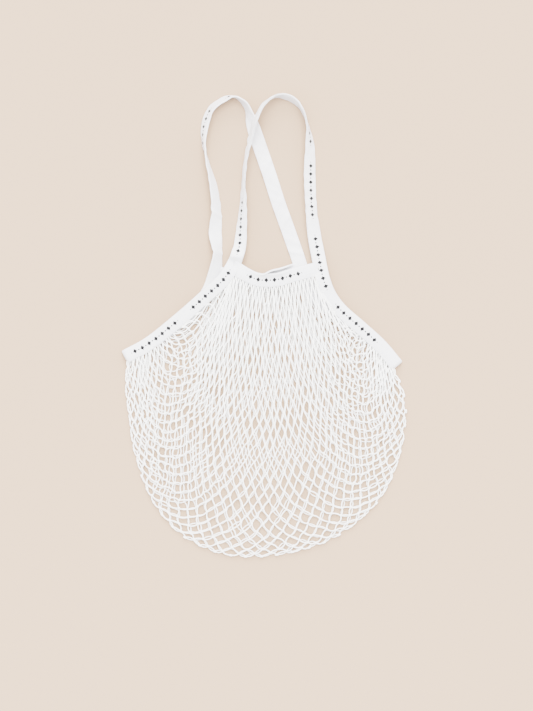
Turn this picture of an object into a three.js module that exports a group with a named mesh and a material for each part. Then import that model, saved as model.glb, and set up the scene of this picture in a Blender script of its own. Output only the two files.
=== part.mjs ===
// A net shopping bag lying flat on a table. A hollow cotton net hangs from a ring of folded tape that binds
// both sides of its mouth and makes both handles, and two short folded tapes gather the net's edge at the
// front and the back of the mouth. Millimetres, +Z up: the handles point to +Y and the front lies on top.
import * as THREE from "three";

// Driving dimensions
const TAPE_WIDTH = 18; // folded
const PLY = 1; // one layer of tape
const NET_WALL = 1.6;
const FIT_GAP = 0.3; // between the net's edge and the plies that hold it
const SLOT_DEPTH = 13; // how far the net could reach into the folded tape
const RIM_CLEAR = 1; // from the net's edge to the bottom of the fold
const RIM_DROP = 4; // plain edge of the net below the tape
const RIM_INSET = 6; // from a binding's end to where the net's edge goes into it
const CORNER_RADIUS = 2.8; // of the net's edge where it turns from front to back
const MOUTH_GAP = 6; // between the front and the back tapes, mid-mouth
const EDGE_GROOVE = 0.6; // between the two plies along a handle's open edge
const FRONT_LOFT = 3; // how far the front net arches up
const FOLD_HEIGHT = 2.6; // of the net's fold round the bottom
const PAD = 3.4; // half a crossing of the net
const STRAND_UNITS = { across: 18, down: 12 }; // half meshes across the mouth, and from front to back
const FOLD_ROW = STRAND_UNITS.down / 2;
const HANDLE_STEP = 11; // between sections along a handle
const BINDING_SECTIONS = 16;
const CENTRE = { x: -2.7, y: 1.9 }; // middle of the outline, which becomes the origin

// Worked out from those
const SLOT = NET_WALL + 2 * FIT_GAP;
const BOUND_THICKNESS = SLOT + 2 * PLY;
const HANDLE_THICKNESS = 2 * PLY;
const CORNER_LIFT = 2 * CORNER_RADIUS;
const FOOT_LIFT = BOUND_THICKNESS + MOUTH_GAP;
const RIM_LOW = -TAPE_WIDTH / 2 - RIM_DROP;
const RIM_HIGH = -TAPE_WIDTH / 2 + SLOT_DEPTH - RIM_CLEAR;
const RIM_HIGH_AT_FOOT = -TAPE_WIDTH / 2 - RIM_CLEAR;
const RIM_TAPER = 0.14; // share of an edge over which the rim sinks into the tape
const TURN_ANGLES = [0, 30, 60, 90]; // sections of a corner's quarter turn, in degrees
const UP = new THREE.Vector3(0, 0, 1);

const COTTON_NET = { color: 0xf3f1ec, roughness: 0.95, metalness: 0 };
const COTTON_TAPE = { color: 0xf4f4f4, roughness: 0.85, metalness: 0 };

// Rows of numbers as objects with named columns.
function table(columns, rows) {
  return rows.map((row) => Object.fromEntries(columns.map((name, k) => [name, row[k]])));
}

// The straps' middle lines. lift is the height of what the tape lies on, and bound is 1 where it holds the
// net. tilt turns the tape about its own line: 0 is flat with the outer face up, 180 with it down.
const STRAP_COLUMNS = ["x", "y", "lift", "tilt", "bound"];
const FRONT_STRAP = table(STRAP_COLUMNS, [
  [-185.5, -38.8, CORNER_LIFT, 0, 1],
  [-158.4, -24.0, CORNER_LIFT, 0, 1],
  [-118.5, 7.3, 7, 0, 1],
  [-84.4, 37.3, 8.4, 0, 1],
  [-52.7, 67.5, FOOT_LIFT, 0, 1],
  [-37.6, 101.0, 4, -12, 0],
  [-32.2, 130.3, 0, -43, 0],
  [-29.7, 164.0, 0, -56, 0],
  [-29.0, 197.0, 0, -74, 0],
  [-25.7, 227.5, 2, -80, 0],
  [-18.9, 257.2, 5.5, -66, 0],
  [-11.8, 281.0, 9.5, -66, 0],
  [-1.5, 300.0, 5.5, -80, 0],
  [16.0, 310.8, 0, -96, 0],
  [34.0, 307.8, 0, -126, 0],
  [47.0, 297.0, 0, -104, 0],
  [56.0, 277.0, 0, -80, 0],
  [60.8, 246.0, 0, -54, 0],
  [60.8, 205.0, 0, -36, 0],
  [62.8, 160.0, 0, -38, 0],
  [67.0, 123.0, 1, -18, 0],
  [71.8, 97.0, 5, -4, 0],
  [79.3, 62.0, FOOT_LIFT, 0, 1],
  [87.5, 42.0, 8.8, 0, 1],
  [101.0, 23.5, 8, 0, 1],
  [128.0, -0.5, 7, 0, 1],
  [155.0, -25.0, CORNER_LIFT, 0, 1],
  [175.9, -49.5, CORNER_LIFT, 0, 1],
]);
const BACK_STRAP = table(STRAP_COLUMNS, [
  [175.9, -49.5, 0, 180, 1],
  [155.0, -25.0, 0, 180, 1],
  [120.0, 0.0, 0, 180, 1],
  [87.0, 24.0, 0, 180, 1],
  [67.0, 43.5, 0, 180, 1],
  [55.0, 64.0, 0, 180, 1],
  [43.2, 97.9, 0, 180, 0],
  [31.7, 130.3, 0, 178, 0],
  [18.2, 168.1, 0, 180, 0],
  [6.1, 205.9, 0, 182, 0],
  [-6.0, 241.0, 0, 178, 0],
  [-15.6, 270.0, 0, 178, 0],
  [-20.3, 286.0, 0, 167, 0],
  [-25.0, 297.5, 0, 132, 0],
  [-31.0, 304.5, 0, 110, 0],
  [-43.0, 310.2, 0, 86, 0],
  [-58.0, 305.0, 0, 65, 0],
  [-73.0, 293.0, 0, 64, 0],
  [-80.3, 273.4, 0, 58, 0],
  [-82.4, 250.0, 0, 76, 0],
  [-78.5, 225.0, 0, 96, 0],
  [-70.0, 190.0, 0, 118, 0],
  [-66.0, 155.0, 0, 132, 0],
  [-67.6, 126.0, 0, 155, 0],
  [-66.0, 101.0, 0, 148, 0],
  [-72.0, 58.5, 0, 180, 1],
  [-80.0, 42.0, 0, 180, 1],
  [-94.0, 25.0, 0, 180, 1],
  [-120.2, 4.0, 0, 180, 1],
  [-158.4, -24.0, 0, 180, 1],
  [-185.5, -38.8, 0, 180, 1],
]);

// The bindings' middle lines, each in the way that its handle's strap runs.
const FRONT_BINDING = table(["x", "y"], [
  [-29.5, 75.0],
  [-10.0, 65.2],
  [8.1, 63.9],
  [27.0, 66.8],
  [47.3, 72.2],
  [64.2, 76.2],
]);
const BACK_BINDING = table(["x", "y"], [
  [40.5, 71.0],
  [20.3, 68.2],
  [-6.8, 66.2],
  [-33.8, 66.8],
  [-55.0, 70.2],
]);

// The net's fold, from the left corner round the bottom to the right corner.
const FOLD_LINE = table(["x", "y"], [
  [-187.0, -75.0],
  [-180.9, -133.0],
  [-168.8, -192.0],
  [-146.0, -243.0],
  [-108.0, -285.0],
  [-54.0, -308.0],
  [0.0, -310.0],
  [54.0, -301.0],
  [108.0, -276.0],
  [155.0, -233.0],
  [179.0, -180.0],
  [188.5, -126.0],
  [185.5, -88.0],
]);

const clamp = THREE.MathUtils.clamp;
const lerp = THREE.MathUtils.lerp;
const smoothstep = THREE.MathUtils.smoothstep;

// The point a + b * s.
function moved(a, b, s) {
  return a.clone().addScaledVector(b, s);
}

// A piece of tape as close samples of its middle line. Each has the direction along the tape, across it
// towards its folded edge, and out of its outer face.
const SAMPLES = 1200;
function sampleTape(points, turns) {
  const line = new THREE.CatmullRomCurve3(points, false, "centripetal");
  const turn = new THREE.CatmullRomCurve3(turns, false, "centripetal");
  const samples = [];
  for (let k = 0; k <= SAMPLES; k++) {
    const at = line.getPoint(k / SAMPLES);
    const state = turn.getPoint(k / SAMPLES);
    const tilt = THREE.MathUtils.degToRad(state.x);
    const bound = clamp(state.y, 0, 1);
    const thickness = lerp(HANDLE_THICKNESS, BOUND_THICKNESS, bound);
    const height = TAPE_WIDTH * Math.abs(Math.sin(tilt)) + thickness * Math.abs(Math.cos(tilt));
    const middle = new THREE.Vector3(at.x, at.y, Math.max(at.z, 0) + height / 2);
    samples.push({ middle, tilt, bound, along: 0 });
  }
  samples.forEach((sample, k) => {
    const before = samples[Math.max(k - 1, 0)].middle;
    const after = samples[Math.min(k + 1, SAMPLES)].middle;
    const forward = after.clone().sub(before).normalize();
    const left = UP.clone().cross(forward).normalize();
    const raised = forward.clone().cross(left).multiplyScalar(Math.sin(sample.tilt));
    sample.forward = forward;
    sample.across = moved(raised, left, Math.cos(sample.tilt));
    sample.out = forward.clone().cross(sample.across);
    sample.along = k ? samples[k - 1].along + sample.middle.distanceTo(before) : 0;
  });
  return samples;
}

function strapOf(rows) {
  const points = rows.map((row) => new THREE.Vector3(row.x, row.y, row.lift));
  const turns = rows.map((row) => new THREE.Vector3(row.tilt, row.bound, 0));
  const samples = sampleTape(points, turns);
  const handle = rows.map((row, k) => k).filter((k) => !rows[k].bound);
  const alongAtRow = (k) => samples[Math.round((k / (rows.length - 1)) * SAMPLES)].along;
  return {
    samples,
    length: samples[SAMPLES].along,
    firstFoot: alongAtRow(handle[0] - 1),
    lastFoot: alongAtRow(handle[handle.length - 1] + 1),
  };
}

function bindingOf(rows, lift, tilt) {
  const points = rows.map((row) => new THREE.Vector3(row.x, row.y, lift));
  const turns = rows.map(() => new THREE.Vector3(tilt, 1, 0));
  const samples = sampleTape(points, turns);
  return { samples, length: samples[SAMPLES].along };
}

// The tape's section at a distance along it.
function sectionAt(tape, along) {
  const samples = tape.samples;
  let k = samples.findIndex((sample) => sample.along >= along);
  k = k < 1 ? (k < 0 ? SAMPLES : 1) : k;
  const [a, b] = [samples[k - 1], samples[k]];
  const share = clamp((along - a.along) / (b.along - a.along), 0, 1);
  const blend = (key) => a[key].clone().lerp(b[key], share);
  return {
    middle: blend("middle"),
    forward: blend("forward").normalize(),
    across: blend("across").normalize(),
    out: blend("out").normalize(),
    bound: lerp(a.bound, b.bound, share),
  };
}

// A section of the turn round a corner of the mouth, where the tape goes over from one face to the other.
// outward points along the tape to the corner.
function turnedSection(end, outward, degrees) {
  const angle = THREE.MathUtils.degToRad(degrees);
  const out = end.out.clone().multiplyScalar(Math.cos(angle)).addScaledVector(outward, Math.sin(angle));
  const centre = moved(end.middle, end.out, -CORNER_RADIUS);
  return { middle: moved(centre, out, CORNER_RADIUS), across: end.across, out, bound: 1 };
}

const front = { strap: strapOf(FRONT_STRAP), binding: bindingOf(FRONT_BINDING, FOOT_LIFT, 0), up: 1 };
const back = { strap: strapOf(BACK_STRAP), binding: bindingOf(BACK_BINDING, 0, 180), up: -1 };

// One side of the mouth on one face: from the handle's foot to the middle of the corner's turn.
function sideEdge(face, rightSide) {
  const strap = face.strap;
  const startsHere = rightSide === (face === back);
  const foot = startsHere ? strap.firstFoot : strap.lastFoot;
  const corner = startsHere ? 0 : strap.length;
  const straight = Math.abs(foot - corner);
  const total = straight + (Math.PI / 2) * CORNER_RADIUS;
  const end = sectionAt(strap, corner);
  const outward = end.forward.clone().multiplyScalar(startsHere ? -1 : 1);
  const section = (share) => {
    const along = share * total;
    if (along <= straight) return sectionAt(strap, lerp(foot, corner, along / straight));
    return turnedSection(end, outward, (90 * (along - straight)) / (total - straight));
  };
  const straightShare = straight / total;
  const turnShares = TURN_ANGLES.map((degrees) => lerp(straightShare, 1, degrees / 90));
  return { section, turnShares };
}

// The net's edge at a section of the mouth's tape: its plain part, its hidden top, and the way out of it.
function rimPoint(section, share) {
  const high = lerp(RIM_HIGH_AT_FOOT, RIM_HIGH, smoothstep(share, 0, RIM_TAPER));
  return {
    low: moved(section.middle, section.across, RIM_LOW),
    high: moved(section.middle, section.across, high),
    out: section.out,
  };
}

// The two sides of the mouth on each face, and the edge between them along the binding.
for (const face of [front, back]) {
  face.left = sideEdge(face, false);
  face.right = sideEdge(face, true);
  const corners = [rimPoint(face.left.section(0), 0), rimPoint(face.right.section(0), 0)];
  const held = face.binding.length - 2 * RIM_INSET;
  const along = (share) => RIM_INSET + (face === front ? share : 1 - share) * held;
  const ends = [0, 1].map((share) => rimPoint(sectionAt(face.binding, along(share)), 0));
  const gaps = [0, 1].map((k) => corners[k].low.distanceTo(ends[k].low));
  const total = gaps[0] + held + gaps[1];
  const shares = [gaps[0] / total, 1 - gaps[1] / total];
  const between = (a, b, share) => ({
    low: a.low.clone().lerp(b.low, share),
    high: a.high.clone().lerp(b.high, share),
    out: a.out.clone().lerp(b.out, share).normalize(),
  });
  face.top = (share) => {
    if (share < shares[0]) return between(corners[0], ends[0], share / shares[0]);
    if (share > shares[1]) return between(ends[1], corners[1], (share - shares[1]) / (1 - shares[1]));
    const own = (share - shares[0]) / (shares[1] - shares[0]);
    return rimPoint(sectionAt(face.binding, along(own)), Math.min(own, 1 - own));
  };
}

// The fold round the bottom, as a line from corner to corner at an even pace.
const apexes = [front.left, front.right].map((edge) => rimPoint(edge.section(1), 1));
const foldLine = new THREE.CatmullRomCurve3([
  apexes[0].low,
  ...FOLD_LINE.map((row) => new THREE.Vector3(row.x, row.y, FOLD_HEIGHT)),
  apexes[1].low,
]);
foldLine.arcLengthDivisions = 400;

// A place on the net: across runs from 0 at the left edge to the right edge, and down from 0 at the front
// binding, round the fold, to the back binding. Outside those ranges it is the edge hidden in the tape.
function netPlace(across, down) {
  const face = down <= FOLD_ROW ? front : back;
  const u = clamp(across / STRAND_UNITS.across, 0, 1);
  const v = clamp((face === front ? down : STRAND_UNITS.down - down) / FOLD_ROW, 0, 1);
  const onSide = u === 0 ? face.left : u === 1 ? face.right : null;
  const hidden = across < 0 || across > STRAND_UNITS.across || down < 0 || down > STRAND_UNITS.down;
  if (onSide || v === 0) {
    const edge = onSide ? rimPoint(onSide.section(v), v) : face.top(u);
    return { at: hidden ? edge.high : edge.low, out: edge.out };
  }
  const low = (edge, share) => rimPoint(edge.section(share), share).low;
  const fold = foldLine.getPointAt(u);
  const at = new THREE.Vector3()
    .addScaledVector(face.top(u).low, 1 - v)
    .addScaledVector(fold, v)
    .addScaledVector(low(face.left, v), 1 - u)
    .addScaledVector(low(face.right, v), u)
    .addScaledVector(low(face.left, 0), -(1 - u) * (1 - v))
    .addScaledVector(low(face.right, 0), -u * (1 - v))
    .addScaledVector(apexes[0].low, -(1 - u) * v)
    .addScaledVector(apexes[1].low, -u * v);
  const arch = 16 * u * (1 - u) * v * (1 - v) * FRONT_LOFT;
  at.z = face === front ? at.z + arch : Math.max(at.z - arch, NET_WALL / 2);
  const nearFold = Math.exp(-at.distanceTo(fold) / (2 * NET_WALL));
  const along = foldLine.getTangentAt(u);
  const outward = new THREE.Vector3(along.y, -along.x, 0).normalize();
  const out = outward.multiplyScalar(nearFold).addScaledVector(UP, face.up * (1 - nearFold)).normalize();
  return { at, out };
}

// How far a crossing's pad reaches from it, in half meshes, along one of the net's two ways.
function padReach(across, down, alongAcross) {
  const step = 0.25;
  const inward = alongAcross ? across < STRAND_UNITS.across / 2 : down < FOLD_ROW;
  const sign = inward ? step : -step;
  const here = netPlace(across, down).at;
  const there = alongAcross ? netPlace(across + sign, down).at : netPlace(across, down + sign).at;
  return Math.min(0.3, (PAD * step) / here.distanceTo(there));
}

// A corner of a crossing's pad.
function padCorner(across, down, alongAcross, sign) {
  const reach = sign * padReach(across, down, alongAcross);
  return alongAcross ? [across + reach, down] : [across, down + reach];
}

// A sheet of faces given by places on the net, thickened into a closed solid.
class NetSheet {
  constructor() {
    this.numbers = new Map();
    this.points = [];
    this.faces = [];
  }

  number([across, down]) {
    const key = across.toFixed(6) + " " + down.toFixed(6);
    if (!this.numbers.has(key)) {
      const { at, out } = netPlace(across, down);
      this.numbers.set(key, this.numbers.size);
      this.points.push({ outer: moved(at, out, NET_WALL / 2), inner: moved(at, out, -NET_WALL / 2) });
    }
    return this.numbers.get(key);
  }

  // Adds a face, turned so that its outer side faces out.
  add(...places) {
    const area = places.reduce((sum, [x, y], k) => {
      const [nextX, nextY] = places[(k + 1) % places.length];
      return sum + x * nextY - nextX * y;
    }, 0);
    const numbers = places.map((place) => this.number(place));
    this.faces.push(area > 0 ? numbers.reverse() : numbers);
  }

  geometry() {
    const triangles = [];
    const outer = (n) => 2 * n;
    const inner = (n) => 2 * n + 1;
    const edges = new Map();
    for (const face of this.faces) {
      for (let k = 1; k + 1 < face.length; k++) {
        triangles.push(outer(face[0]), outer(face[k]), outer(face[k + 1]));
        triangles.push(inner(face[0]), inner(face[k + 1]), inner(face[k]));
      }
      face.forEach((a, k) => {
        const b = face[(k + 1) % face.length];
        edges.set(a + " " + b, [a, b]);
      });
    }
    for (const [a, b] of edges.values()) {
      if (edges.has(b + " " + a)) continue;
      triangles.push(outer(a), inner(a), inner(b));
      triangles.push(outer(a), inner(b), outer(b));
    }
    const points = this.points.flatMap((point) => [point.outer, point.inner]);
    return geometryOf(points, triangles);
  }
}

function geometryOf(points, triangles) {
  const geometry = new THREE.BufferGeometry().setFromPoints(points);
  geometry.setIndex(triangles);
  geometry.computeVertexNormals();
  return geometry;
}

// The places along the net's edge where its pads meet it, with one more between each two.
function edgeSteps(count, corner) {
  const steps = [];
  for (let k = 1; k < count; k += 2) {
    steps.push(corner(k, -1));
    steps.push(corner(k, 1));
    if (k + 1 < count) steps.push(k + 1);
  }
  return steps;
}

// The steps down one side of the net, front to back, with those of the turn round the corner of the mouth.
function sideSteps(side) {
  const { across, down } = STRAND_UNITS;
  const at = side === "left" ? 0 : across;
  const steps = edgeSteps(down, (k, sign) => padCorner(at, k, false, sign)[1]);
  const turns = [
    ...front[side].turnShares.map((share) => FOLD_ROW * share),
    ...back[side].turnShares.map((share) => down - FOLD_ROW * share),
  ];
  return [...new Set([...steps, ...turns])].sort((a, b) => a - b);
}

// All places round the net's edge in order: front, right, back and left.
function edgePlaces() {
  const { across, down } = STRAND_UNITS;
  const row = (at) => edgeSteps(across, (k, sign) => padCorner(k, at, true, sign)[0]).map((x) => [x, at]);
  const column = (side, at) => sideSteps(side).map((y) => [at, y]);
  return [
    [0, 0],
    ...row(0),
    [across, 0],
    ...column("right", across),
    [across, down],
    ...row(down).reverse(),
    [0, down],
    ...column("left", 0).reverse(),
  ];
}

function netGeometry() {
  const { across, down } = STRAND_UNITS;
  const sheet = new NetSheet();
  const edge = edgePlaces();
  const outside = (value, most) => (value <= 0 ? -1 : value >= most ? most + 1 : value);
  const hidden = ([x, y]) => [
    x === 0 || x === across ? outside(x, across) : x,
    y === 0 || y === down ? outside(y, down) : y,
  ];
  // The rim that the tapes hold
  edge.forEach((place, k) => {
    const next = edge[(k + 1) % edge.length];
    sheet.add(place, next, hidden(next), hidden(place));
  });
  for (let i = 0; i <= across; i++) {
    for (let j = (i + 1) % 2; j <= down; j += 2) {
      addCrossing(sheet, edge, i, j);
      for (const way of [1, -1]) {
        if (i < across && j + way >= 0 && j + way <= down) addStrand(sheet, i, j, way);
      }
    }
  }
  return sheet.geometry();
}

// A crossing's pad: four-sided inside the net, and a fan on the rim along its edge.
function addCrossing(sheet, edge, i, j) {
  const { across, down } = STRAND_UNITS;
  const onSide = i === 0 || i === across;
  const onEnd = j === 0 || j === down;
  const inwardAcross = padCorner(i, j, true, i < across / 2 ? 1 : -1);
  const inwardDown = padCorner(i, j, false, j < FOLD_ROW ? 1 : -1);
  if (onSide || onEnd) {
    const tip = onSide ? inwardAcross : inwardDown;
    const axis = onSide ? 1 : 0;
    const [from, to] = [-1, 1].map((sign) => padCorner(i, j, !onSide, sign)[axis]);
    const fixed = onSide ? i : j;
    const inFan = (place) => place[1 - axis] === fixed && place[axis] >= from && place[axis] <= to;
    const fan = edge.filter(inFan).sort((a, b) => a[axis] - b[axis]);
    for (let k = 0; k + 1 < fan.length; k++) sheet.add(tip, fan[k], fan[k + 1]);
  } else {
    const ends = [1, -1].map((sign) => padCorner(i, j, true, sign));
    const tips = [1, -1].map((sign) => padCorner(i, j, false, sign));
    sheet.add(ends[0], tips[0], ends[1], tips[1]);
  }
}

// A strand from one crossing to the next, in two lengths so that it follows the net's curve.
function addStrand(sheet, i, j, way) {
  const from = [padCorner(i, j, true, 1), padCorner(i, j, false, way)];
  const to = [padCorner(i + 1, j + way, false, -way), padCorner(i + 1, j + way, true, -1)];
  const middle = [0, 1].map((k) => [(from[k][0] + to[k][0]) / 2, (from[k][1] + to[k][1]) / 2]);
  sheet.add(from[0], middle[0], middle[1], from[1]);
  sheet.add(middle[0], to[0], to[1], middle[1]);
}

// The corners of the folded tape's section, across it and through it: two plies, joined at the folded edge.
function foldedOutline(bound) {
  const half = TAPE_WIDTH / 2;
  const thick = lerp(HANDLE_THICKNESS, BOUND_THICKNESS, bound) / 2;
  const slot = lerp(EDGE_GROOVE, SLOT, bound) / 2;
  const depth = -half + lerp(EDGE_GROOVE, SLOT_DEPTH, bound);
  return [
    [-half, -thick],
    [half, -thick],
    [half, thick],
    [-half, thick],
    [-half, slot],
    [depth, slot],
    [depth, -slot],
    [-half, -slot],
  ].map(([x, y]) => new THREE.Vector2(x, y));
}

// A solid swept through sections of folded tape, closed to a ring or capped at its ends.
function tapeGeometry(sections, ring) {
  const outlines = sections.map((section) => foldedOutline(section.bound));
  const sides = outlines[0].length;
  const points = sections.flatMap(({ middle, across, out }, k) =>
    outlines[k].map((corner) => moved(moved(middle, across, corner.x), out, corner.y)),
  );
  const triangles = [];
  const spans = ring ? sections.length : sections.length - 1;
  for (let k = 0; k < spans; k++) {
    const [here, there] = [k * sides, ((k + 1) % sections.length) * sides];
    for (let a = 0; a < sides; a++) {
      const b = (a + 1) % sides;
      // Opposite sides are split along the same diagonal, so that a twist leaves the thickness even.
      const [from, to] = outlines[k][b].x < outlines[k][a].x ? [b, a] : [a, b];
      const near = [here + a, here + b, there + to];
      const far = [there + b, there + a, here + from];
      triangles.push(...near, ...far);
    }
  }
  if (!ring) {
    const last = (sections.length - 1) * sides;
    for (const [a, b, c] of THREE.ShapeUtils.triangulateShape(outlines[0], [])) {
      triangles.push(a, c, b);
      triangles.push(last + a, last + b, last + c);
    }
  }
  return geometryOf(points, triangles);
}

// The sections of one strap's handle, foot to foot.
function handleSections(strap) {
  const length = strap.lastFoot - strap.firstFoot;
  const count = Math.round(length / HANDLE_STEP);
  const sections = [];
  for (let k = 1; k < count; k++) sections.push(sectionAt(strap, strap.firstFoot + (length * k) / count));
  return sections;
}

// The sections of one side of the mouth, at the net's own edge steps, from the front foot to the back foot.
function sideSections(side) {
  const { down } = STRAND_UNITS;
  return [0, ...sideSteps(side), down].map((step) =>
    step <= FOLD_ROW ? front[side].section(step / FOLD_ROW) : back[side].section((down - step) / FOLD_ROW),
  );
}

function handleTapeGeometry() {
  return tapeGeometry(
    [
      ...handleSections(front.strap),
      ...sideSections("right"),
      ...handleSections(back.strap),
      ...sideSections("left").reverse(),
    ],
    true,
  );
}

function bindingGeometry(binding) {
  const sections = [];
  for (let k = 0; k <= BINDING_SECTIONS; k++) {
    sections.push(sectionAt(binding, (binding.length * k) / BINDING_SECTIONS));
  }
  return tapeGeometry(sections, false);
}

function piece(name, geometry, finish) {
  const mesh = new THREE.Mesh(geometry, new THREE.MeshStandardMaterial(finish));
  mesh.name = name;
  return mesh;
}

const bag = new THREE.Group();
bag.name = "net_bag";
bag.position.set(-CENTRE.x, -CENTRE.y, 0);
bag.add(
  piece("net", netGeometry(), COTTON_NET),
  piece("handle_tape", handleTapeGeometry(), COTTON_TAPE),
  piece("front_binding", bindingGeometry(front.binding), COTTON_TAPE),
  piece("back_binding", bindingGeometry(back.binding), COTTON_TAPE),
);

export default bag;
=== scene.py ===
"""Looks of the net shopping bag: woven tape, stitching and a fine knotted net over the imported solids."""

import bpy
import numpy as np
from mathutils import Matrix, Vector


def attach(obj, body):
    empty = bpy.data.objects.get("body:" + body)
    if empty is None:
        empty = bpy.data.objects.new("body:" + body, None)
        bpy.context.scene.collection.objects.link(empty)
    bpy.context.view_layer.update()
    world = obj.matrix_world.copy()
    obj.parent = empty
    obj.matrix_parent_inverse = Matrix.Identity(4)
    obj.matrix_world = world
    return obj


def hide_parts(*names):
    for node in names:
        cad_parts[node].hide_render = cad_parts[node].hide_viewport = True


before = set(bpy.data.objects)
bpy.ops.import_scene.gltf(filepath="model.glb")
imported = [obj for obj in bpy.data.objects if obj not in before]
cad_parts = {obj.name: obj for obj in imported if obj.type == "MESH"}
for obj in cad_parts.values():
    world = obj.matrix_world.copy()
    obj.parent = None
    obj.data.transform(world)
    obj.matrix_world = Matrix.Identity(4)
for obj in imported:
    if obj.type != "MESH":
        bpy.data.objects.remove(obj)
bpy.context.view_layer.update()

MM = 0.001
TAU = 2 * np.pi
scene = bpy.context.scene


def placed(name, data):
    """A new object of the scene."""
    made = bpy.data.objects.new(name, data)
    scene.collection.objects.link(made)
    return made


# Camera: straight from above, 1.35 mm to a pixel of the 533 by 711 picture at the cloth's height
PIXEL_MM = 1.35
PICTURE_HEIGHT = 711
VIEW_MIDDLE = (4.7, -41.05)
CLOTH_HEIGHT = 6.0
LENS_MM = 200.0
SENSOR_MM = 36.0
FARTHEST_M = 50.0

camera_data = bpy.data.cameras.new("camera")
camera_data.lens = LENS_MM
camera_data.sensor_width = SENSOR_MM
camera = placed("camera", camera_data)
camera_height = PICTURE_HEIGHT * PIXEL_MM * LENS_MM / SENSOR_MM
camera.location = Vector((*VIEW_MIDDLE, camera_height + CLOTH_HEIGHT)) * MM
camera_data.clip_end = FARTHEST_M
scene.camera = camera

# The bag's driving sizes, in millimetres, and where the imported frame's origin lies in the lines below
CENTRE = np.array([-2.7, 1.9])
HALF_WIDTH = 9.0
CORNER_RADIUS = 2.8
CORNER_LIFT = 5.6
FOOT_LIFT = 10.2
BOUND_HALF = 2.1
HANDLE_HALF = 1.0
PLY = 0.9
FRONT_LOFT = 3.0
# A binding thins to this half thickness over this length, where it goes in between a strap's two layers
TUCK_HALF = 0.62
TUCK_TAPER = 20.0
# Points along a tape's line, the least root of a gap between rows, and the least length to divide by
LINE_STEPS = 1201
SAME_PLACE = 1e-4
TINY = 1e-9

# Middle lines, in millimetres, after the part's source. Some rows and turns are finer than the solids'.
# A strap's row: x, y, lift of its lower side, tilt in degrees, and 1 where it binds the net.
FRONT_STRAP = np.array([
    (-185.5, -38.8, CORNER_LIFT, 0, 1), (-158.4, -24.0, CORNER_LIFT, 0, 1), (-118.5, 7.3, 7, 0, 1),
    (-84.4, 37.3, 8.4, 0, 1), (-52.7, 67.5, FOOT_LIFT, 0, 1), (-36.2, 101.0, 6, -22, 0),
    (-32.2, 130.3, 0, -43, 0), (-29.7, 164.0, 0, -64, 0), (-29.0, 197.0, 0, -80, 0),
    (-25.7, 227.5, 2, -80, 0), (-18.9, 257.2, 5.5, -72, 0), (-11.8, 281.0, 9.5, -74, 0),
    (-1.5, 300.0, 5.5, -80, 0), (16.0, 310.8, 0, -96, 0), (34.0, 307.8, 0, -113, 0),
    (47.0, 297.0, 0, -100, 0), (56.0, 277.0, 0, -90, 0), (60.8, 246.0, 0, -54, 0),
    (60.8, 205.0, 0, -36, 0), (62.8, 160.0, 0, -38, 0), (67.0, 123.0, 1, -18, 0), (71.8, 97.0, 5, -4, 0),
    (79.3, 62.0, FOOT_LIFT, 0, 1), (87.5, 42.0, 8.8, 0, 1), (101.0, 23.5, 8, 0, 1), (128.0, -0.5, 7, 0, 1),
    (155.0, -25.0, CORNER_LIFT, 0, 1), (175.9, -49.5, CORNER_LIFT, 0, 1),
])
BACK_STRAP = np.array([
    (175.9, -49.5, 0, 180, 1), (155.0, -25.0, 0, 180, 1), (120.0, 0.0, 0, 180, 1), (87.0, 24.0, 0, 180, 1),
    (67.0, 43.5, 0, 180, 1), (55.0, 64.0, 0, 180, 1), (43.2, 97.9, 0, 180, 0), (31.7, 130.3, 0, 178, 0),
    (18.2, 168.1, 0, 180, 0), (6.1, 205.9, 0, 182, 0), (-6.0, 241.0, 0, 178, 0), (-15.6, 270.0, 0, 158, 0),
    (-20.3, 286.0, 0, 122, 0), (-25.0, 297.5, 0, 110, 0), (-31.0, 304.5, 0, 101, 0), (-43.0, 310.2, 0, 86, 0),
    (-58.0, 305.0, 0, 65, 0), (-73.0, 293.0, 0, 64, 0), (-80.3, 273.4, 0, 58, 0), (-82.4, 250.0, 0, 76, 0),
    (-78.5, 225.0, 0, 96, 0), (-70.0, 190.0, 0, 118, 0), (-66.0, 155.0, 0, 132, 0), (-67.6, 126.0, 0, 155, 0),
    (-64.4, 98.0, 0, 128, 0), (-72.0, 58.5, 0, 180, 1), (-80.0, 42.0, 0, 180, 1), (-94.0, 25.0, 0, 180, 1),
    (-120.2, 4.0, 0, 180, 1), (-158.4, -24.0, 0, 180, 1), (-185.5, -38.8, 0, 180, 1),
])
# A binding's row: x, y and tilt in degrees. Its first and last rows lie inside the straps.
FRONT_BINDING = np.array([
    (-44.5, 80.8, 0), (-36.9, 77.0, 0), (-24.9, 69.8, 0), (-11.7, 63.9, 0), (2.0, 62.4, 0), (17.5, 63.6, 0),
    (34.5, 68.4, 0), (56.5, 74.4, 0), (64.2, 76.2, 0), (72.5, 77.6, 0),
])
BACK_BINDING = np.array([
    (49.5, 79.5, 180), (40.5, 76.6, 178), (31.0, 74.0, 176), (20.3, 71.4, 174), (10.5, 69.2, 174),
    (2.7, 65.0, 175), (-6.0, 62.6, 178), (-33.8, 64.0, 180), (-55.0, 69.6, 180), (-68.0, 75.5, 180),
])
# The net's outline from the left corner round the bottom to the right corner: x and y
FOLD_LINE = np.array([
    (-188, -75), (-182, -133), (-170, -192), (-147, -243), (-108, -285), (-54, -308), (0, -310),
    (54, -301), (108, -276), (155, -233), (180, -180), (190, -126), (187, -88),
])


def unit(v):
    return v / np.maximum(np.linalg.norm(v, axis=-1, keepdims=True), TINY)


def smoothstep(share):
    return share * share * (3 - 2 * share)


def lengths_along(points):
    steps = np.linalg.norm(np.diff(points, axis=0), axis=1)
    return np.concatenate([[0.0], np.cumsum(steps)])


def columns_at(where, at, values):
    """Linear reading of each column of values, known at at, at the places where."""
    return np.column_stack([np.interp(where, at, values[:, c]) for c in range(values.shape[1])])


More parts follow.
